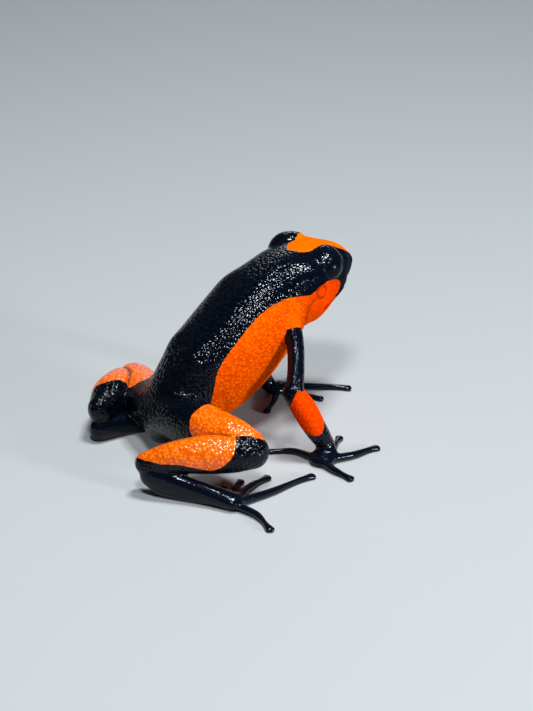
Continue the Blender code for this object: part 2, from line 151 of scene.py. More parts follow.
def new_material(name):
    made = bpy.data.materials.new(name)
    made.use_nodes = True
    return made, made.node_tree.nodes["Principled BSDF"], Wire(made.node_tree)


def connect(shader, values):
    for name, value in values.items():
        if isinstance(value, Wire):
            value.tree.links.new(value.socket, shader.inputs[name])
        else:
            shader.inputs[name].default_value = value


FLOOR_SIZE = 3.0
FLOOR_COLOUR = (0.39, 0.385, 0.38, 1)
bpy.ops.object.select_all(action="DESELECT")
bpy.ops.mesh.primitive_plane_add(size=FLOOR_SIZE, location=(0, 0, 0))
floor = bpy.context.object
floor.name = "floor"
paint, paint_shader, _ = new_material("pale_floor")
connect(paint_shader, {"Base Color": FLOOR_COLOUR, "Roughness": 0.9, "Specular IOR Level": 0.1})
floor.data.materials.append(paint)

# Where each lamp stands from the frog's middle, its length and width in millimetres, and its watts.
LAMPS = {
    "overhead_lamp": ((50, -25, 320), (80, 46), 1.2),
    "shoulder_lamp": ((-70, -150, 270), (46, 46), 0.7),
    "side_lamp": ((170, -290, 70), (50, 50), 0.9),
    "far_lamp": ((160, 300, 120), (120, 100), 0.1),
}
LAMP_COLOUR = (0.86, 0.94, 1.0)
ROOM_COLOUR = (0.75, 0.87, 1.0, 1)
ROOM_STRENGTH = 0.06
BODY_MIDDLE = HOME + arrow(12, 1, 10) * MM
HEADING = arrow(1, 0, 0)
for name, (place, (length, width), watts) in LAMPS.items():
    lamp_data = bpy.data.lights.new(name, "AREA")
    lamp_data.shape = "RECTANGLE"
    lamp_data.size = length * MM
    lamp_data.size_y = width * MM
    lamp_data.energy = watts
    lamp_data.color = LAMP_COLOUR
    lamp = bpy.data.objects.new(name, lamp_data)
    away = arrow(*place).normalized()
    across = away.cross(HEADING).normalized()
    lamp.matrix_world = Matrix([across.cross(away), across, away]).transposed().to_4x4()
    lamp.location = BODY_MIDDLE + arrow(*place) * MM
    bpy.context.scene.collection.objects.link(lamp)
world = bpy.data.worlds.new("room")
world.use_nodes = True
backdrop = world.node_tree.nodes["Background"]
backdrop.inputs["Color"].default_value = ROOM_COLOUR
backdrop.inputs["Strength"].default_value = ROOM_STRENGTH
bpy.context.scene.world = world
bpy.context.scene.view_settings.view_transform = "Standard"  # keeps the strong orange strong

# The skin is one covering from snout to toes. Each part of the body is a rounded form laid along a
# line of sections (forward, left, up, half width, rise, drop), and the forms are fused and softened.
BODY_LINE = [
    (0.4, 0.0, 3.0, 2.6, 1.8, 2.9), (0.3, 0.0, 4.8, 3.2, 2.1, 3.9), (1.1, 0.0, 6.8, 3.5, 2.3, 5.0),
    (3.0, 0.1, 8.6, 4.2, 2.9, 6.6), (5.7, 0.4, 10.5, 5.0, 3.8, 7.8), (8.7, 0.9, 12.6, 5.6, 4.2, 8.0),
    (11.9, 1.6, 14.8, 5.7, 4.4, 7.6), (14.9, 2.5, 16.5, 5.4, 4.3, 7.0), (17.4, 3.4, 17.7, 5.2, 3.9, 6.4),
    (19.8, 4.2, 18.5, 5.4, 3.5, 6.7), (22.2, 4.95, 18.8, 5.1, 3.25, 6.2), (24.5, 5.6, 18.8, 4.3, 2.9, 5.2),
    (26.4, 6.2, 18.6, 3.2, 2.2, 4.2), (27.5, 6.5, 18.3, 2.3, 1.5, 2.7),
]
BODY_OVER = (0, 0.35, 1)
BODY_SQUARENESS = 2.15
BODY_CAPS = (0.6, 0.45)
THIGHS = {
    "right": [(0.2, -2.0, 5.7, 2.2, 2.4, 2.4), (1.8, -5.6, 6.5, 2.8, 2.9, 2.9),
              (3.6, -9.6, 6.75, 2.5, 2.5, 2.6), (5.2, -12.8, 6.8, 2.1, 2.1, 2.2),
              (6.0, -14.3, 6.6, 1.8, 1.8, 1.9)],
    "left": [(0.4, 2.0, 5.4, 2.3, 2.3, 2.9), (1.1, 5.5, 4.8, 2.8, 2.1, 3.7),
             (1.5, 9.5, 4.3, 2.9, 2.0, 3.6), (2.1, 12.9, 3.8, 2.4, 1.9, 2.7),
             (2.4, 14.3, 3.4, 2.0, 1.8, 2.0)],
}
SHANKS = {
    "right": [(6.2, -14.8, 5.9, 1.8, 1.9, 2.2), (4.0, -14.1, 5.7, 2.1, 2.2, 2.3),
              (0.6, -12.5, 5.3, 2.0, 2.5, 2.1), (-2.8, -10.6, 4.7, 1.6, 2.0, 1.7),
              (-5.0, -9.2, 4.0, 1.3, 1.4, 1.5)],
    "left": [(2.4, 14.6, 2.4, 1.6, 1.6, 1.6), (0.9, 13.5, 3.1, 2.2, 2.0, 2.4),
             (-0.6, 10.9, 4.1, 2.6, 2.2, 3.3), (-3.0, 8.2, 4.3, 2.5, 2.3, 2.9),
             (-4.9, 6.4, 4.0, 1.6, 1.8, 2.0)],
}
FEET = {
    "right": [(-4.5, -9.8, 2.9, 1.4, 1.6, 1.8), (-3.7, -10.6, 2.5, 1.3, 1.6, 2.2),
              (-2.2, -12.0, 1.9, 1.1, 1.5, 1.9), (0.8, -14.7, 1.35, 1.1, 1.1, 1.35),
              (2.9, -16.5, 0.95, 1.5, 0.85, 1.05)],
    "left": [(-5.3, 5.8, 1.7, 1.2, 1.3, 1.7), (-2.3, 6.0, 1.35, 1.1, 1.55, 1.4),
             (1.0, 5.5, 1.0, 1.1, 1.0, 1.0), (3.6, 5.1, 0.8, 1.5, 0.75, 0.9)],
}
TOES = {  # root, bend and tip of each, on the floor, inner toe first
    "right": [((0.9, -13.9), (2.2, -12.9), (3.6, -12.0)), ((2.1, -15.0), (4.2, -13.1), (6.0, -11.6)),
              ((3.4, -16.0), (6.6, -13.4), (9.3, -12.0)), ((3.5, -16.6), (8.0, -15.7), (14.3, -13.9)),
              ((2.9, -17.0), (4.4, -20.2), (4.5, -23.4))],
    "left": [((3.4, 4.2), (4.6, 3.0), (5.7, 1.6)), ((4.4, 4.3), (6.5, 3.3), (8.6, 2.2)),
             ((4.9, 4.9), (8.0, 4.7), (11.2, 4.3)), ((4.7, 5.5), (9.0, 6.9), (14.0, 8.8)),
             ((3.9, 6.1), (5.9, 8.6), (7.2, 11.5))],
}
TOE_SHARES = (0.85, 0.9, 1.0, 1.05, 0.95)
UPPER_ARMS = {
    "right": [(16.8, -1.7, 15.6, 1.4, 1.4, 1.4), (16.6, -4.0, 13.2, 1.2, 1.1, 1.15),
              (15.7, -6.2, 11.0, 1.15, 1.05, 1.05), (14.8, -7.8, 9.0, 1.1, 1.1, 1.1)],
    "left": [(15.0, 5.4, 15.4, 1.5, 1.5, 1.5), (15.4, 7.7, 13.2, 1.2, 1.2, 1.2),
             (14.9, 9.1, 10.8, 1.15, 1.05, 1.05), (14.3, 9.8, 8.8, 1.1, 1.1, 1.1)],
}
FOREARMS = {
    "right": [(14.6, -7.8, 8.8, 1.2, 1.15, 1.4), (15.4, -8.4, 6.7, 1.5, 1.75, 1.25),
              (16.8, -9.4, 3.9, 1.4, 1.5, 1.25), (18.1, -9.9, 1.8, 1.05, 1.1, 1.1)],
    "left": [(14.2, 9.8, 8.6, 1.2, 1.2, 1.4), (15.5, 9.7, 6.5, 1.5, 1.6, 1.5),
             (17.4, 9.3, 3.8, 1.4, 1.4, 1.4), (18.6, 9.1, 1.9, 1.05, 1.1, 1.1)],
}
HANDS = {
    "right": [(18.2, -9.9, 1.7, 1.05, 1.1, 1.1), (17.8, -10.4, 1.0, 1.5, 0.85, 1.0),
              (16.8, -11.2, 0.7, 1.6, 0.7, 0.85)],
    "left": [(18.7, 9.0, 1.7, 1.05, 1.1, 1.1), (19.4, 8.9, 1.0, 1.5, 0.85, 1.0),
             (20.6, 8.8, 0.7, 1.6, 0.7, 0.85)],
}
FINGERS = {
    "right": [((16.2, -10.0), (14.7, -7.4), (11.9, -6.0)), ((18.2, -10.2), (19.9, -8.4), (21.6, -6.4)),
              ((18.3, -11.4), (21.2, -11.4), (24.6, -10.6)), ((16.8, -12.2), (17.3, -14.2), (18.2, -16.4))],
    "left": [((19.6, 7.8), (18.2, 5.8), (16.4, 3.9)), ((20.9, 7.7), (22.4, 5.9), (24.2, 4.3)),
             ((21.9, 8.7), (24.8, 7.5), (28.8, 5.6)), ((21.5, 9.6), (23.2, 11.0), (25.0, 12.4))],
}
FINGER_SHARES = (0.9, 0.95, 1.05, 0.95)
DIGIT_RADIUS = 0.42
DISC_HALF_WIDTH = 0.62
TOE_ROOT_UP, FINGER_ROOT_UP = 0.75, 0.7
BODY_AROUND, LIMB_AROUND, DIGIT_AROUND = 96, 40, 24  # faces round a form
LIMB_OVER = (0, 0, 1)
ARM_OVER = (0, -1, 0)
HOME_MM = np.array(HOME) / MM
FAR_AWAY = 1e9


class Line:
    """The line of a body part: its sections, with the side, upright and onward way of each."""

    def __init__(self, sections, over=LIMB_OVER, count=60):
        rows = np.array(sections, float)
        steps = np.linalg.norm(np.diff(rows[:, :3], axis=0), axis=1)
        at = np.concatenate([[0.0], np.cumsum(steps)])
        slopes = np.gradient(rows, at, axis=0)
        where = np.linspace(0.0, at[-1], count)
        i = np.clip(np.searchsorted(at, where, side="right") - 1, 0, len(rows) - 2)
        span = (at[i + 1] - at[i])[:, None]
        s = (where[:, None] - at[i][:, None]) / span
        rows = (
            (2 * s**3 - 3 * s**2 + 1) * rows[i] + (s**3 - 2 * s**2 + s) * span * slopes[i]
            + (3 * s**2 - 2 * s**3) * rows[i + 1] + (s**3 - s**2) * span * slopes[i + 1]
        )
        self.centre = np.stack([rows[:, 1], -rows[:, 0], rows[:, 2]], 1) + HOME_MM
        self.half, self.rise, self.drop = rows[:, 3], rows[:, 4], rows[:, 5]
        onward = self.centre.copy()
        onward[1:-1] = self.centre[2:] - self.centre[:-2]
        onward[0] = self.centre[1] - self.centre[0]
        onward[-1] = self.centre[-1] - self.centre[-2]
        self.onward = onward / np.linalg.norm(onward, axis=1)[:, None]
        side = np.cross(np.array(over, float), self.onward)
        self.side = side / np.linalg.norm(side, axis=1)[:, None]
        self.upright = np.cross(self.onward, self.side)
        self.along = np.concatenate([[0.0], np.cumsum(np.linalg.norm(np.diff(self.centre, axis=0), axis=1))])

    def rim(self, index, angle, squareness=2.0):
        """The way from a section's centre to its rim, for arrays of sections and angles."""
        power = 2.0 / squareness
        across, height = np.cos(angle), np.sin(angle)
        tallest = np.where(height > 0, self.rise[index], self.drop[index])
        wide = np.sign(across) * abs(across) ** power * self.half[index]
        tall = np.sign(height) * abs(height) ** power * tallest
        return self.side[index] * wide[:, None] + self.upright[index] * tall[:, None]

    def read(self, points):
        """For points: how far along the line, the angle round it, and the distance over the radius."""
        nearest = np.zeros(len(points), int)
        least = np.full(len(points), FAR_AWAY)
        for i, centre in enumerate(self.centre):
            distance = ((points - centre) ** 2).sum(1)
            closer = distance < least
            nearest[closer] = i
            least[closer] = distance[closer]
        out = points - self.centre[nearest]
        ahead_of = (out * self.onward[nearest]).sum(1)
        across = (out * self.side[nearest]).sum(1)
        height = (out * self.upright[nearest]).sum(1)
        tall = np.where(height > 0, self.rise[nearest], self.drop[nearest])
        half = self.half[nearest]
        share = np.sqrt((across / half) ** 2 + (height / tall) ** 2 + (ahead_of / half) ** 2)
        return self.along[nearest] + ahead_of, np.degrees(np.arctan2(height, across)), share


def lay_form(line, around, caps=(1.0, 1.0), squareness=2.0, cap_rings=8):
    """A ball whose rings are laid along a line of sections, with rounded ends."""
    count = len(line.centre)
    rings = count - 1 + 2 * cap_rings
    bpy.ops.mesh.primitive_uv_sphere_add(segments=around, ring_count=rings, radius=1.0, location=(0, 0, 0))
    thing = bpy.context.object
    places = np.empty(len(thing.data.vertices) * 3)
    thing.data.vertices.foreach_get("co", places)
    places = places.reshape(-1, 3)
    level = np.rint((1 - np.arccos(np.clip(places[:, 2], -1, 1)) / math.pi) * rings)
    into_start = np.clip(cap_rings - level, 0, None)
    into_end = np.clip(level - (rings - cap_rings), 0, None)
    index = np.clip(level - cap_rings, 0, count - 1).astype(int)
    depth = np.maximum(into_start, into_end) / cap_rings * math.pi / 2
    radius = (line.half + 0.5 * (line.rise + line.drop))[index] / 2
    reach = np.sin(depth) * radius * np.where(into_start > 0, -caps[0], caps[1])
    rim = line.rim(index, np.arctan2(places[:, 1], places[:, 0]), squareness)
    laid = line.centre[index] + rim * np.cos(depth)[:, None] + line.onward[index] * reach[:, None]
    thing.data.vertices.foreach_set("co", (laid * MM).ravel())
    thing.data.update()
    return thing


def digit_line(places, share, root_up):
    """The line of a toe or finger, which ends in a flat disc."""
    root, bend, tip = (Vector(place) for place in places)
    inner = root - (bend - root).normalized() * 1.0
    neck = tip - (tip - bend).normalized() * 1.0
    slim = DIGIT_RADIUS * share
    return Line([
        (*inner, root_up, slim * 1.2, slim * 1.1, slim * 1.2),
        (*root, root_up * 0.9, slim * 1.2, slim * 1.1, slim * 1.2),
        (*bend, 0.50, slim * 1.05, slim, slim * 1.1), (*neck, 0.38, slim * 0.85, slim * 0.85, 0.45),
        (*tip, 0.30, DISC_HALF_WIDTH * share, 0.30, 0.36),
    ], count=40)


body = Line(BODY_LINE, BODY_OVER, 160)
lines = {"body": body}
for side_name in ("left", "right"):
    lines[f"thigh_{side_name}"] = Line(THIGHS[side_name])
    lines[f"shank_{side_name}"] = Line(SHANKS[side_name])
    lines[f"foot_{side_name}"] = Line(FEET[side_name])
    lines[f"upper_arm_{side_name}"] = Line(UPPER_ARMS[side_name], ARM_OVER)
    lines[f"forearm_{side_name}"] = Line(FOREARMS[side_name], ARM_OVER)
    lines[f"hand_{side_name}"] = Line(HANDS[side_name])
    for number, (places, share) in enumerate(zip(TOES[side_name], TOE_SHARES)):
        lines[f"toe_{side_name}_{number}"] = digit_line(places, share, TOE_ROOT_UP)
    for number, (places, share) in enumerate(zip(FINGERS[side_name], FINGER_SHARES)):
        lines[f"finger_{side_name}_{number}"] = digit_line(places, share, FINGER_ROOT_UP)

bpy.ops.object.select_all(action="DESELECT")
forms = [lay_form(body, BODY_AROUND, BODY_CAPS, BODY_SQUARENESS)]
for name, line in lines.items():
    if name.startswith(("toe", "finger")):
        forms.append(lay_form(line, DIGIT_AROUND, (0.6, 0.9), cap_rings=5))
    elif name != "body":
        forms.append(lay_form(line, LIMB_AROUND))

# The lids: a swelling over each eye, with the hollow for the eyeball and a thin raised rim round it.
HEAD_FORWARD = np.array(arrow(6.6, 2.0, 0.1).normalized())
HEAD_LEFT = np.cross((0, 0, 1), HEAD_FORWARD)
HEAD_LEFT /= np.linalg.norm(HEAD_LEFT)
HEAD_UP = np.cross(HEAD_FORWARD, HEAD_LEFT)
EYE_RADIUS = 1.75
SOCKET_RADIUS = 1.79
LID_RADIUS = 2.3
LID_STRETCH = 1.12
LID_SHIFT = 0.8
LID_AHEAD, LID_UP = 0.25, 0.12
RIM_RADIUS = 0.13
RIM_OUT = 0.66
RIM_WIDTH = 1.66
EYE_OUT = (0.22, 0.93, 0.30)


def add_ball(centre, axes, radii, segments=48, rings=32):
    """A ball stretched along three ways, its centre and radii in millimetres."""
    bpy.ops.mesh.primitive_uv_sphere_add(segments=segments, ring_count=rings, radius=1.0, location=(0, 0, 0))
    thing = bpy.context.object
    turned = Matrix([Vector(axis) * radius for axis, radius in zip(axes, radii)]).transposed().to_4x4()
    thing.data.transform(Matrix.Scale(MM, 4) @ Matrix.Translation(Vector(centre)) @ turned)
    if turned.determinant() < 0:  # a mirrored ball would be inside out
        thing.data.flip_normals()
    return thing


def eye_axes(side):
    """The ways ahead, out and up of one eye; side is 1 for the left and -1 for the right."""
    out = HEAD_FORWARD * EYE_OUT[0] + HEAD_LEFT * side * EYE_OUT[1] + HEAD_UP * EYE_OUT[2]
    out /= np.linalg.norm(out)
    front = HEAD_FORWARD - out * (HEAD_FORWARD @ out)
    front /= np.linalg.norm(front)
    top = np.cross(out, front) * -side
    return front, out, top


eye_places = {}
for side_name, side in (("left", 1), ("right", -1)):
    centre = np.array(arrow(*EYES[side_name])) + HOME_MM
    axes = eye_axes(side)
    eye_places[side_name] = (centre, axes)
    lid = centre - axes[1] * LID_SHIFT + HEAD_FORWARD * LID_AHEAD + HEAD_UP * LID_UP
    forms.append(add_ball(lid, axes, (LID_RADIUS * LID_STRETCH, LID_RADIUS, LID_RADIUS)))
    bpy.ops.mesh.primitive_torus_add(
        major_segments=64, minor_segments=12, location=(0, 0, 0),
        major_radius=RIM_WIDTH * MM, minor_radius=RIM_RADIUS * MM,
    )
    rim = bpy.context.object
    turned = Matrix([Vector(axes[0]), Vector(axes[2]), Vector(axes[1])]).transposed().to_4x4()
    rim.data.transform(Matrix.Translation(Vector(centre + axes[1] * RIM_OUT) * MM) @ turned)
    forms.append(rim)

for thing in forms:
    thing.select_set(True)
bpy.context.view_layer.objects.active = forms[0]
bpy.ops.object.join()
skin = bpy.context.object
skin.name = "skin"

VOXEL = 0.165
fuse = skin.modifiers.new("fuse", "REMESH")
fuse.mode = "VOXEL"
fuse.voxel_size = VOXEL * MM
fuse.use_smooth_shade = True
bpy.ops.object.modifier_apply(modifier=fuse.name)


def read_places(thing):
    places = np.empty(len(thing.data.vertices) * 3)
    thing.data.vertices.foreach_get("co", places)
    return places.reshape(-1, 3) / MM


def read_normals(thing):
    normals = np.empty(len(thing.data.vertices) * 3)
    thing.data.vertex_normals.foreach_get("vector", normals)
    return normals.reshape(-1, 3)


def write_places(thing, places):
    thing.data.vertices.foreach_set("co", (places * MM).ravel())
    thing.data.update()


def soften(thing, weights, repeats, factor=0.5):
    """Smooths a piece where the weights are high."""
    group = thing.vertex_groups.new(name="soften")
    for level in range(1, 11):
        chosen = np.nonzero(np.rint(weights * 10) == level)[0]
        group.add(chosen.tolist(), level / 10, "REPLACE")
    smooth = thing.modifiers.new("soften", "SMOOTH")
    smooth.factor = factor
    smooth.iterations = repeats
    smooth.vertex_group = group.name
    bpy.ops.object.modifier_apply(modifier=smooth.name)
    thing.vertex_groups.clear()


# Where two parts of the body grow out of each other the skin runs over in a soft hollow. Thigh and
# shank lie side by side and share skin only at the knee, and shank and foot only at the heel.
FUSED_REPEATS, ROOT_REPEATS, BEND_REPEATS, RIM_REPEATS = 3, 45, 12, 4
ROOT_REACH, BEND_REACH = 1.7, 1.5  # how far off a part, in its radii, the softening ends
BEND_WIDTH = 0.3
HEAD_START = 25  # millimetres from the vent
soften(skin, np.ones(len(skin.data.vertices)), FUSED_REPEATS)
places = read_places(skin)
shares = {name: line.read(places) for name, line in lines.items()}
blend = np.zeros(len(places))
for side_name in ("left", "right"):
    for first, second, width in (
        ("body", "thigh", 0.45), ("body", "upper_arm", 0.5), ("upper_arm", "forearm", 0.35),
        ("forearm", "hand", 0.35),
    ):
        first = "body" if first == "body" else f"{first}_{side_name}"
        one, two = shares[first], shares[f"{second}_{side_name}"]
        near = np.exp(-(((one[2] - two[2]) / width) ** 2)) * (np.maximum(one[2], two[2]) < ROOT_REACH)
        blend = np.maximum(blend, near)
head_area = shares["body"][0] > HEAD_START
soften(skin, np.where(head_area, 0, blend), ROOT_REPEATS)
places = read_places(skin)
bends = np.zeros(len(places))
for side_name in ("left", "right"):
    for first, second, reach in (("thigh", "shank", 1.0), ("shank", "foot", 2.5)):
        line = lines[f"{first}_{side_name}"]
        one, two = line.read(places), lines[f"{second}_{side_name}"].read(places)
        near = np.exp(-(((one[2] - two[2]) / BEND_WIDTH) ** 2)) * (np.maximum(one[2], two[2]) < BEND_REACH)
        bends = np.maximum(bends, near * (one[0] >= line.along[-1] - reach))
soften(skin, bends, BEND_REPEATS)

# The head keeps its finest mesh. The plainer skin of body and limbs is thinned until the whole skin is
# within the number of triangles for one piece.
TRIANGLES_KEPT = 180000  # the eye hollows add more
HEAD_MESH_START, HEAD_MESH_REACH = 21, 1.8  # millimetres from the vent, and in radii of the body
triangles = sum(len(face.vertices) - 2 for face in skin.data.polygons)
head_along, _, head_share = body.read(read_places(skin))
plain = np.nonzero((head_along < HEAD_MESH_START) | (head_share > HEAD_MESH_REACH))[0]
plain_group = skin.vertex_groups.new(name="plain")
plain_group.add(plain.tolist(), 1.0, "REPLACE")
thin = skin.modifiers.new("thin", "DECIMATE")
thin.ratio = min(1.0, TRIANGLES_KEPT / triangles)
thin.vertex_group = plain_group.name
bpy.ops.object.modifier_apply(modifier=thin.name)
skin.vertex_groups.clear()

# The head's own features, cut and raised in the skin: eye hollows and the rims round them.
bpy.ops.object.select_all(action="DESELECT")
hollows = bpy.data.collections.new("hollows")
bpy.context.scene.collection.children.link(hollows)
for centre, axes in eye_places.values():
    hollow = add_ball(centre, axes, (SOCKET_RADIUS,) * 3, 64, 48)
    for owner in list(hollow.users_collection):
        owner.objects.unlink(hollow)
    hollows.objects.link(hollow)
bpy.ops.object.select_all(action="DESELECT")
skin.select_set(True)
bpy.context.view_layer.objects.active = skin
cut = skin.modifiers.new("cut", "BOOLEAN")
cut.operation = "DIFFERENCE"
cut.operand_type = "COLLECTION"
cut.collection = hollows
cut.solver = "MANIFOLD"
bpy.ops.object.modifier_apply(modifier=cut.name)
for hollow in list(hollows.objects):
    bpy.data.objects.remove(hollow, do_unlink=True)
bpy.data.collections.remove(hollows)

RIM_AREA, RIM_FADE = 2.6, 0.5  # how far from the eye's middle the rims are softened
places = read_places(skin)
rim_area = np.zeros(len(places))
for centre, _ in eye_places.values():
    distance = np.linalg.norm(places - centre, axis=1)
    rim_area = np.maximum(rim_area, np.clip((RIM_AREA - distance) / RIM_FADE, 0, 1))
soften(skin, rim_area, RIM_REPEATS)


def surface_points(track):
    """Points on the body's skin from (millimetres from the vent, degrees down from the back's middle)."""
    at = np.array([t for t, _ in track])
    index = np.clip(np.searchsorted(body.along, at), 0, len(body.along) - 1)
    angle = np.radians([90 - down for _, down in track])
    return body.centre[index] + body.rim(index, angle, BODY_SQUARENESS)


def distance_to(track, points):
    """Each point's distance to a broken line."""
    least = np.full(len(points), FAR_AWAY)
    for start, end in zip(track[:-1], track[1:]):
        way = end - start
        s = np.clip(((points - start) @ way) / (way @ way), 0, 1)
        least = np.minimum(least, np.linalg.norm(points - start - s[:, None] * way, axis=1))
    return least


# Folds and small forms of the skin, each on both sides: how deep, how wide, and along what line. The
# first two run from the ear drum down to the arm, the next across the throat, the last in the groin.
FOLDS = [
    (0.20, 0.22, [(25.2, 104), (24.5, 108), (23.9, 114), (23.4, 121), (23.1, 129)]),
    (0.12, 0.16, [(24.2, 105), (23.5, 110), (23.0, 117), (22.8, 125)]),
    (0.16, 0.30, [(23.1, 129), (23.3, 150), (23.5, 180)]),
    (0.10, 0.45, [(21.0, 96), (20.0, 104), (19.5, 112)]),
    (0.10, 0.40, [(9.6, 104), (8.9, 118), (8.6, 135)]),
]
MOUTH_TRACK = [(26.9, 121), (28.2, 122.5), (30.0, 123), (31.6, 123), (33.0, 122), (34.4, 122)]
MOUTH_DEPTH, MOUTH_WIDTH = 0.16, 0.16
LIP_HEIGHT, LIP_WIDTH, LIP_FROM_MOUTH = 0.05, 0.25, 0.4
FOLD_SHADE = 3
SWELLINGS = [  # height, radius, place
    (0.35, 1.8, (9.5, 26)), (0.30, 2.2, (20.0, 42)), (0.25, 1.3, (26.3, 74)), (0.18, 1.0, (32.4, 70)),
    (0.30, 1.6, (26.6, 122)), (0.25, 0.9, (29.9, 33)), (0.28, 1.1, (30.9, 30)),
]
EAR_DRUM = (26.6, 100)
EAR_DRUM_RADIUS = 0.75
EAR_GROOVE_DEPTH, EAR_DRUM_HEIGHT, EAR_GROOVE_WIDTH = 0.12, 0.09, 0.14
EAR_SHADE = 0.75
NOSTRIL = (0.1, 2.15, 0.75)
NOSTRIL_DEPTH, NOSTRIL_RADIUS = 0.2, 0.18
NOSTRIL_LIP_HEIGHT, NOSTRIL_LIP_RADIUS = 0.05, 0.4
LEG_CREASE_DEPTH, LEG_CREASE_WIDTH = 0.12, 0.07
KNEE_LENGTH = 1.5
places = read_places(skin)
normals = read_normals(skin)
push = np.zeros(len(places))
# Painted shade, per point: how much the orange is darkened in the folds, the mouth line, the ring round the
# ear drum, the nostril pits and the leg creases.
crease_shade = np.zeros(len(places))
for side in (1, -1):
    def both(track):
        return surface_points([(t, down * side) for t, down in track])

    for depth, width, track in FOLDS:
        near = np.exp(-((distance_to(both(track), places) / width) ** 2))
        push -= depth * near
        crease_shade = np.maximum(crease_shade, near**2 * depth * FOLD_SHADE)
    mouth = np.exp(-((distance_to(both(MOUTH_TRACK), places) / MOUTH_WIDTH) ** 2))
    push -= MOUTH_DEPTH * mouth
    crease_shade = np.maximum(crease_shade, mouth)
    from_lip = distance_to(both(MOUTH_TRACK), places) - LIP_FROM_MOUTH
    push += LIP_HEIGHT * np.exp(-((from_lip / LIP_WIDTH) ** 2))
    for height, radius, place in SWELLINGS:
        distance = np.linalg.norm(places - both([place])[0], axis=1)
        push += height * np.exp(-((distance / radius) ** 2))
    distance = np.linalg.norm(places - both([EAR_DRUM])[0], axis=1)
    ring = np.exp(-(((distance - EAR_DRUM_RADIUS) / EAR_GROOVE_WIDTH) ** 2))
    edge = np.exp(-(((distance - EAR_DRUM_RADIUS * 0.75) / EAR_GROOVE_WIDTH) ** 2))
    push += EAR_DRUM_HEIGHT * edge - EAR_GROOVE_DEPTH * ring
    crease_shade = np.maximum(crease_shade, ring * EAR_SHADE)
    snout = np.array(arrow(*BODY_LINE[-1][:3])) + HOME_MM
    nostril = snout + HEAD_FORWARD * NOSTRIL[0] + HEAD_LEFT * side * NOSTRIL[1] + HEAD_UP * NOSTRIL[2]
    distance = np.linalg.norm(places - nostril, axis=1)
    pit = np.exp(-((distance / NOSTRIL_RADIUS) ** 2))
    pit_lip = np.exp(-(((distance - NOSTRIL_LIP_RADIUS) / NOSTRIL_RADIUS) ** 2))
    push += NOSTRIL_LIP_HEIGHT * pit_lip - NOSTRIL_DEPTH * pit
    crease_shade = np.maximum(crease_shade, pit)
# The deep crease where the folded thigh and shank press together, up to the knee, with painted shade in it.
for side_name in ("left", "right"):
    thigh_along, _, thigh_share = lines[f"thigh_{side_name}"].read(places)
    shank_share = lines[f"shank_{side_name}"].read(places)[2]
    near = np.exp(-(((thigh_share - shank_share) / LEG_CREASE_WIDTH) ** 2))
    near *= np.maximum(thigh_share, shank_share) < BEND_REACH
    near *= thigh_along < lines[f"thigh_{side_name}"].along[-1] - KNEE_LENGTH
    push -= LEG_CREASE_DEPTH * near
    crease_shade = np.maximum(crease_shade, near)
places += normals * push[:, None]
places[:, 2] = np.maximum(places[:, 2], 0)
write_places(skin, places)

# The markings. Each orange patch has a rim given in millimetres along its part and degrees round it;
# on the body the degrees go down from the middle of the back, and both sides are alike.
DEGREE = 0.09  # millimetres of skin to a degree round the body
LIMB_DEGREE = 0.035
FOREARM_DEGREE = 0.0245
CROWN = [(27.0, 0), (26.8, 10), (27.0, 20), (27.1, 28), (27.4, 36), (28.1, 41), (28.8, 39.5),
         (29.5, 37.5), (30.5, 38), (31.2, 45), (32.2, 52), (33.5, 58), (34.4, 58), (35.2, 50),
         (36.2, 0), (35.2, -50), (34.4, -58), (33.5, -58), (32.2, -52), (31.7, -45), (31.1, -39),
         (30.5, -35), (29.9, -31), (29.1, -27), (28.2, -21), (27.5, -12)]
FLANK = [(7.2, 220), (7.2, 170), (7.0, 150), (7.4, 122), (8.0, 113), (8.9, 99), (9.7, 87), (10.6, 79),
         (11.8, 74), (13.1, 71), (14.8, 68.5), (16.4, 66.5), (18.0, 65.5), (19.4, 67), (20.6, 71),
         (21.9, 77), (23.1, 86.5), (24.3, 95), (25.0, 98), (25.8, 97), (26.5, 94.5), (27.2, 94.5),
         (28.0, 94), (29.0, 95), (30.1, 99.5), (30.9, 107), (31.1, 114), (30.9, 122), (30.3, 140),
         (30.0, 180), (30.0, 220)]
LIMB_PATCHES = {
    "thigh_right": [(7.4, 40), (6.8, 69), (6.7, 110), (6.5, 130), (6.6, 149), (6.8, 169), (7.2, 185),
        (7.8, 215), (12.0, 215), (12.4, 150), (12.9, 137), (13.4, 125), (14.2, 112), (14.8, 100),
        (15.2, 60), (14.9, 18), (14.5, -10), (11.5, 20)],
    "thigh_left": [(6.4, 40), (6.2, 56), (4.6, 80), (3.9, 106), (3.8, 131), (3.9, 146), (4.6, 152),
        (6.5, 155), (10.0, 158), (13.4, 158), (13.9, 110), (13.7, 20), (9.0, 25)],
    "shank_right": [(1.7, 145), (1.9, 71), (2.0, 50), (2.3, 24), (2.9, 3), (3.7, -16), (4.9, -31),
        (6.1, -21), (7.2, -9), (8.3, 0), (10.6, 10), (11.5, 26), (12.5, 42), (13.2, 62), (13.8, 85),
        (13.6, 105), (10.4, 125), (8.7, 135), (5.0, 145)],
    "shank_left": [(2.2, 200), (2.2, 60), (2.6, 30), (3.4, 8), (5.0, -5), (7.2, -2), (9.0, 12),
        (10.2, 22), (10.4, 32), (9.4, 45), (9.2, 75), (8.7, 93), (8.0, 109), (7.8, 127), (7.5, 143),
        (7.4, 200)],
    "forearm": [(-1.5, 100), (-1.5, 150), (-0.2, 165), (0.1, 196), (0.7, 225), (1.1, 242), (1.4, 270),
        (2.0, 310), (2.8, 335), (4.0, 335), (4.6, 290), (4.9, 260), (5.6, 226), (6.0, 195), (5.9, 165),
        (5.5, 140), (4.8, 100), (4.2, 70), (3.0, 60), (0.5, 85)],
}
ARMPIT_SKIN = 1.8  # the upper arm is orange this far out from its root


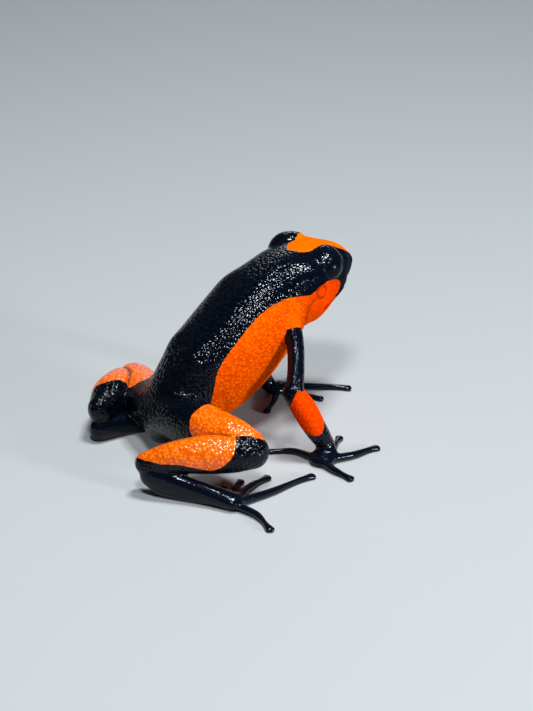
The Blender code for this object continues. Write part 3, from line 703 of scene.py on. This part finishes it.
def inside(rim, along, down, degree):
    """How far within a patch each point lies, in millimetres of skin; below zero is outside it."""
    points = np.stack([along, down * degree], 1)
    corners = np.array([(t, d * degree) for t, d in rim])
    least = np.full(len(points), FAR_AWAY)
    within = np.zeros(len(points), bool)
    for start, end in zip(corners, np.roll(corners, -1, axis=0)):
        way = end - start
        s = np.clip(((points - start) @ way) / (way @ way), 0, 1)
        least = np.minimum(least, np.linalg.norm(points - start - s[:, None] * way, axis=1))
        crosses = (start[1] > points[:, 1]) != (end[1] > points[:, 1])
        slant = way[1] or 1e-9
        within ^= crosses & (points[:, 0] < way[0] * (points[:, 1] - start[1]) / slant + start[0])
    return np.where(within, least, -least)


BLACK_ONLY = -2.0
BELLY_ANGLE = 62  # degrees from the back's middle, past which the orange turns redder
FLANK_RED, THROAT_RED, ARMPIT_RED = 0.3, 0.9, 0.5
THROAT_START, THROAT_LENGTH = 22.5, 3.5
CHEEK_START, CHEEK_LENGTH = 21.5, 3.0
CHEEK_ANGLE, CHEEK_SPREAD = 66, 12
SNOUT_START, SNOUT_LENGTH = 31.2, 1.2
DULLEST = 0.9
NECK_START, NECK_LENGTH = 23.5, 2.5
HEAD_SMOOTHNESS = 0.55
EYE_RIM_HIGHLIGHT_WIDTH = 0.17
GRAIN = {
    "body": 1.0, "thigh": 1.0, "shank": 1.0, "upper_arm": 0.6, "forearm": 0.7, "foot": 0.12, "hand": 0.12,
    "toe": 0.05, "finger": 0.05,
}
names = list(lines)
readings = [lines[name].read(places) for name in names]
nearest = np.argmin([reading[2] for reading in readings], axis=0)
orange = np.full(len(places), BLACK_ONLY)
grain = np.zeros(len(places))
wet = np.zeros(len(places))
red = np.zeros(len(places))
dull = np.zeros(len(places))
for number, name in enumerate(names):
    here = nearest == number
    along, angle, _ = (values[here] for values in readings[number])
    kind = name.split("_left")[0].split("_right")[0]
    if name == "body":
        turn = (angle + 90) % 360 - 180
        value = np.maximum(inside(CROWN, along, turn, DEGREE), inside(FLANK, along, abs(turn), DEGREE))
        to_throat = np.clip((along - THROAT_START) / THROAT_LENGTH, 0, 1)
        red[here] = (abs(turn) > BELLY_ANGLE) * (FLANK_RED + (THROAT_RED - FLANK_RED) * to_throat)
        to_cheek = np.clip((along - CHEEK_START) / CHEEK_LENGTH, 0, 1)
        under_eye = to_cheek * np.clip((abs(turn) - CHEEK_ANGLE) / CHEEK_SPREAD, 0, 1)
        to_snout = np.clip((along - SNOUT_START) / SNOUT_LENGTH, 0, 1)
        dull[here] = np.maximum(under_eye, to_snout) * DULLEST
    elif kind in ("thigh", "shank"):
        down = angle if name.endswith("right") else 180 - angle
        down = (down + 80) % 360 - 80
        value = inside(LIMB_PATCHES[name], along, down, LIMB_DEGREE)
    elif kind == "forearm":
        down = (angle if name.endswith("right") else 180 - angle) % 360
        value = inside(LIMB_PATCHES["forearm"], along, down, FOREARM_DEGREE)
        red[here] = 1
    elif kind == "upper_arm":
        value = ARMPIT_SKIN - along
        red[here] = ARMPIT_RED
    else:
        value = np.full(here.sum(), BLACK_ONLY)
    orange[here] = value
    grain[here] = GRAIN[kind]
    wet[here] = kind in ("thigh", "shank")
body_along = readings[0][0]
on_head = np.clip((body_along - NECK_START) / NECK_LENGTH, 0, 1) * (nearest == 0)
grain *= 1 - HEAD_SMOOTHNESS * on_head
# Painted highlight: a faint blue-grey ring on the lid's rim round each eye, where the light catches it.
rim = np.zeros(len(places))
for centre, axes in eye_places.values():
    out = (places - centre) @ axes[1]
    across = np.linalg.norm(places - centre - out[:, None] * axes[1], axis=1)
    from_rim = np.hypot(across - RIM_WIDTH, out - RIM_OUT)
    rim = np.maximum(rim, np.exp(-((from_rim / EYE_RIM_HIGHLIGHT_WIDTH) ** 4)))


def store(name, values):
    attribute = skin.data.attributes.new(name, "FLOAT", "POINT")
    attribute.data.foreach_set("value", values.astype(np.float32))


store("orange_depth", orange)
store("grain", grain)
store("wet", wet)
store("crease_shade", crease_shade)
store("red", red)
store("dull", dull)
store("rim", rim)

# The skin is black, and blue in the light, with a wet gloss broken up by its granules. The orange is dry on
# body and arms and wet on the legs and redder toward the throat, and both the black and the orange get
# painted shade in the gaps between granules.
BLACK, BLACK_SHADED_IN_GAPS = (0.0015, 0.003, 0.0075, 1), (0.0006, 0.001, 0.002, 1)
EYE_RIM_HIGHLIGHT_COLOUR = (0.010, 0.024, 0.034, 1)
ORANGE, RED_ORANGE, LEG_ORANGE = (0.95, 0.130, 0.0005, 1), (0.86, 0.050, 0.0003, 1), (0.95, 0.210, 0.002, 1)
ORANGE_SHADED_IN_GAPS, RED_ORANGE_SHADED_IN_GAPS = (0.66, 0.060, 0.0003, 1), (0.52, 0.022, 0.0002, 1)
CREASE_SHADE_COLOUR = (0.05, 0.004, 0.001, 1)
GRANULE_SCALE = 2500.0
BUMP_HEIGHT = 0.0001
material, shader, wires = new_material("frog_skin")
position = wires.node("ShaderNodeTexCoord", output="Object")


def stored(name):
    """The wire of a value stored on the skin."""
    return wires.node("ShaderNodeAttribute", {"attribute_name": name}, output="Fac")


granular, wetness, redness = stored("grain"), stored("wet"), stored("red")
ragged = wires.node("ShaderNodeTexNoise", {}, {"Vector": position, "Scale": 2600.0, "Detail": 2.0})
granules = wires.node(
    "ShaderNodeTexVoronoi", {"feature": "SMOOTH_F1"},
    {"Vector": position, "Scale": GRANULE_SCALE, "Smoothness": 0.25, "Randomness": 0.85}, "Distance",
)
fine = wires.node("ShaderNodeTexNoise", {}, {"Vector": position, "Scale": 6000.0, "Detail": 3.0})
patch = (stored("orange_depth") + (ragged - 0.5) * 0.22).step(-0.05, 0.05)
# Painted shade: the skin is made darker in the gaps between the granules.
gap_shade = granules.step(0.30, 0.62)
orange_high = redness.mix(ORANGE, RED_ORANGE)
orange_high = (wetness * 0.6).mix(orange_high, LEG_ORANGE)
orange_gap_shade = redness.mix(ORANGE_SHADED_IN_GAPS, RED_ORANGE_SHADED_IN_GAPS)
orange_colour = (gap_shade * granular * 0.8).mix(orange_high, orange_gap_shade)
# Painted shade in the creases darkens the orange toward a deep red-brown.
orange_colour = (stored("crease_shade") * 0.85).mix(orange_colour, CREASE_SHADE_COLOUR)
black_colour = (gap_shade * granular).mix(BLACK, BLACK_SHADED_IN_GAPS)
# Painted highlight on the rims round the eyes.
black_colour = stored("rim").mix(black_colour, EYE_RIM_HIGHLIGHT_COLOUR)
skin_colour = patch.mix(black_colour, orange_colour)
height = (1 - granules * 1.2) * granular + fine * 0.10
bump = wires.node("ShaderNodeBump", {}, {"Height": height, "Strength": 1.0, "Distance": BUMP_HEIGHT})
connect(shader, {"Base Color": skin_colour, "Roughness": 0.11, "Specular IOR Level": 0.22, "Normal": bump})
moist = Wire(wires.tree, shader.outputs[0])
satin = wires.node("ShaderNodeBsdfPrincipled", {}, {
    "Base Color": skin_colour, "Roughness": 0.6, "Specular IOR Level": 0.0, "Normal": bump,
})
wet_orange = wires.node("ShaderNodeBsdfPrincipled", {}, {
    "Base Color": orange_colour, "Roughness": 0.14, "Specular IOR Level": 0.5, "Normal": bump,
})
wet_skin = wires.node("ShaderNodeMixShader", {}, {0: patch * wetness, 1: moist, 2: wet_orange})
dry = patch * (1 - wetness) + stored("dull")
skin_shader = wires.node("ShaderNodeMixShader", {}, {0: dry, 1: wet_skin, 2: satin})
wires.tree.links.new(skin_shader.socket, wires.tree.nodes["Material Output"].inputs["Surface"])
skin.data.materials.clear()
skin.data.materials.append(material)
bpy.ops.object.shade_smooth()
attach(skin, "root")
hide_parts("torso", "head", *[f"{kind}_{side_name}" for side_name in ("left", "right")
            for kind in ("upper_arm", "forearm", "hand", "thigh", "shank", "foot")])

# The eyes are large, dark and wet. The iris is as black as the pupil, so no ring shows between them.
PUPIL_COLOUR = (0.001, 0.002, 0.005, 1)
for side_name, (centre, axes) in eye_places.items():
    bpy.ops.object.select_all(action="DESELECT")
    eye = add_ball(centre, axes, (EYE_RADIUS,) * 3, 64, 48)
    eye.name = f"{side_name}_eyeball"
    bpy.ops.object.shade_smooth()
    eye_material, eye_shader, _ = new_material(f"{side_name}_eye")
    connect(eye_shader, {"Base Color": PUPIL_COLOUR, "Roughness": 0.2, "Specular IOR Level": 0.1})
    eye.data.materials.append(eye_material)
    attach(eye, "root")
    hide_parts(f"eye_{side_name}")
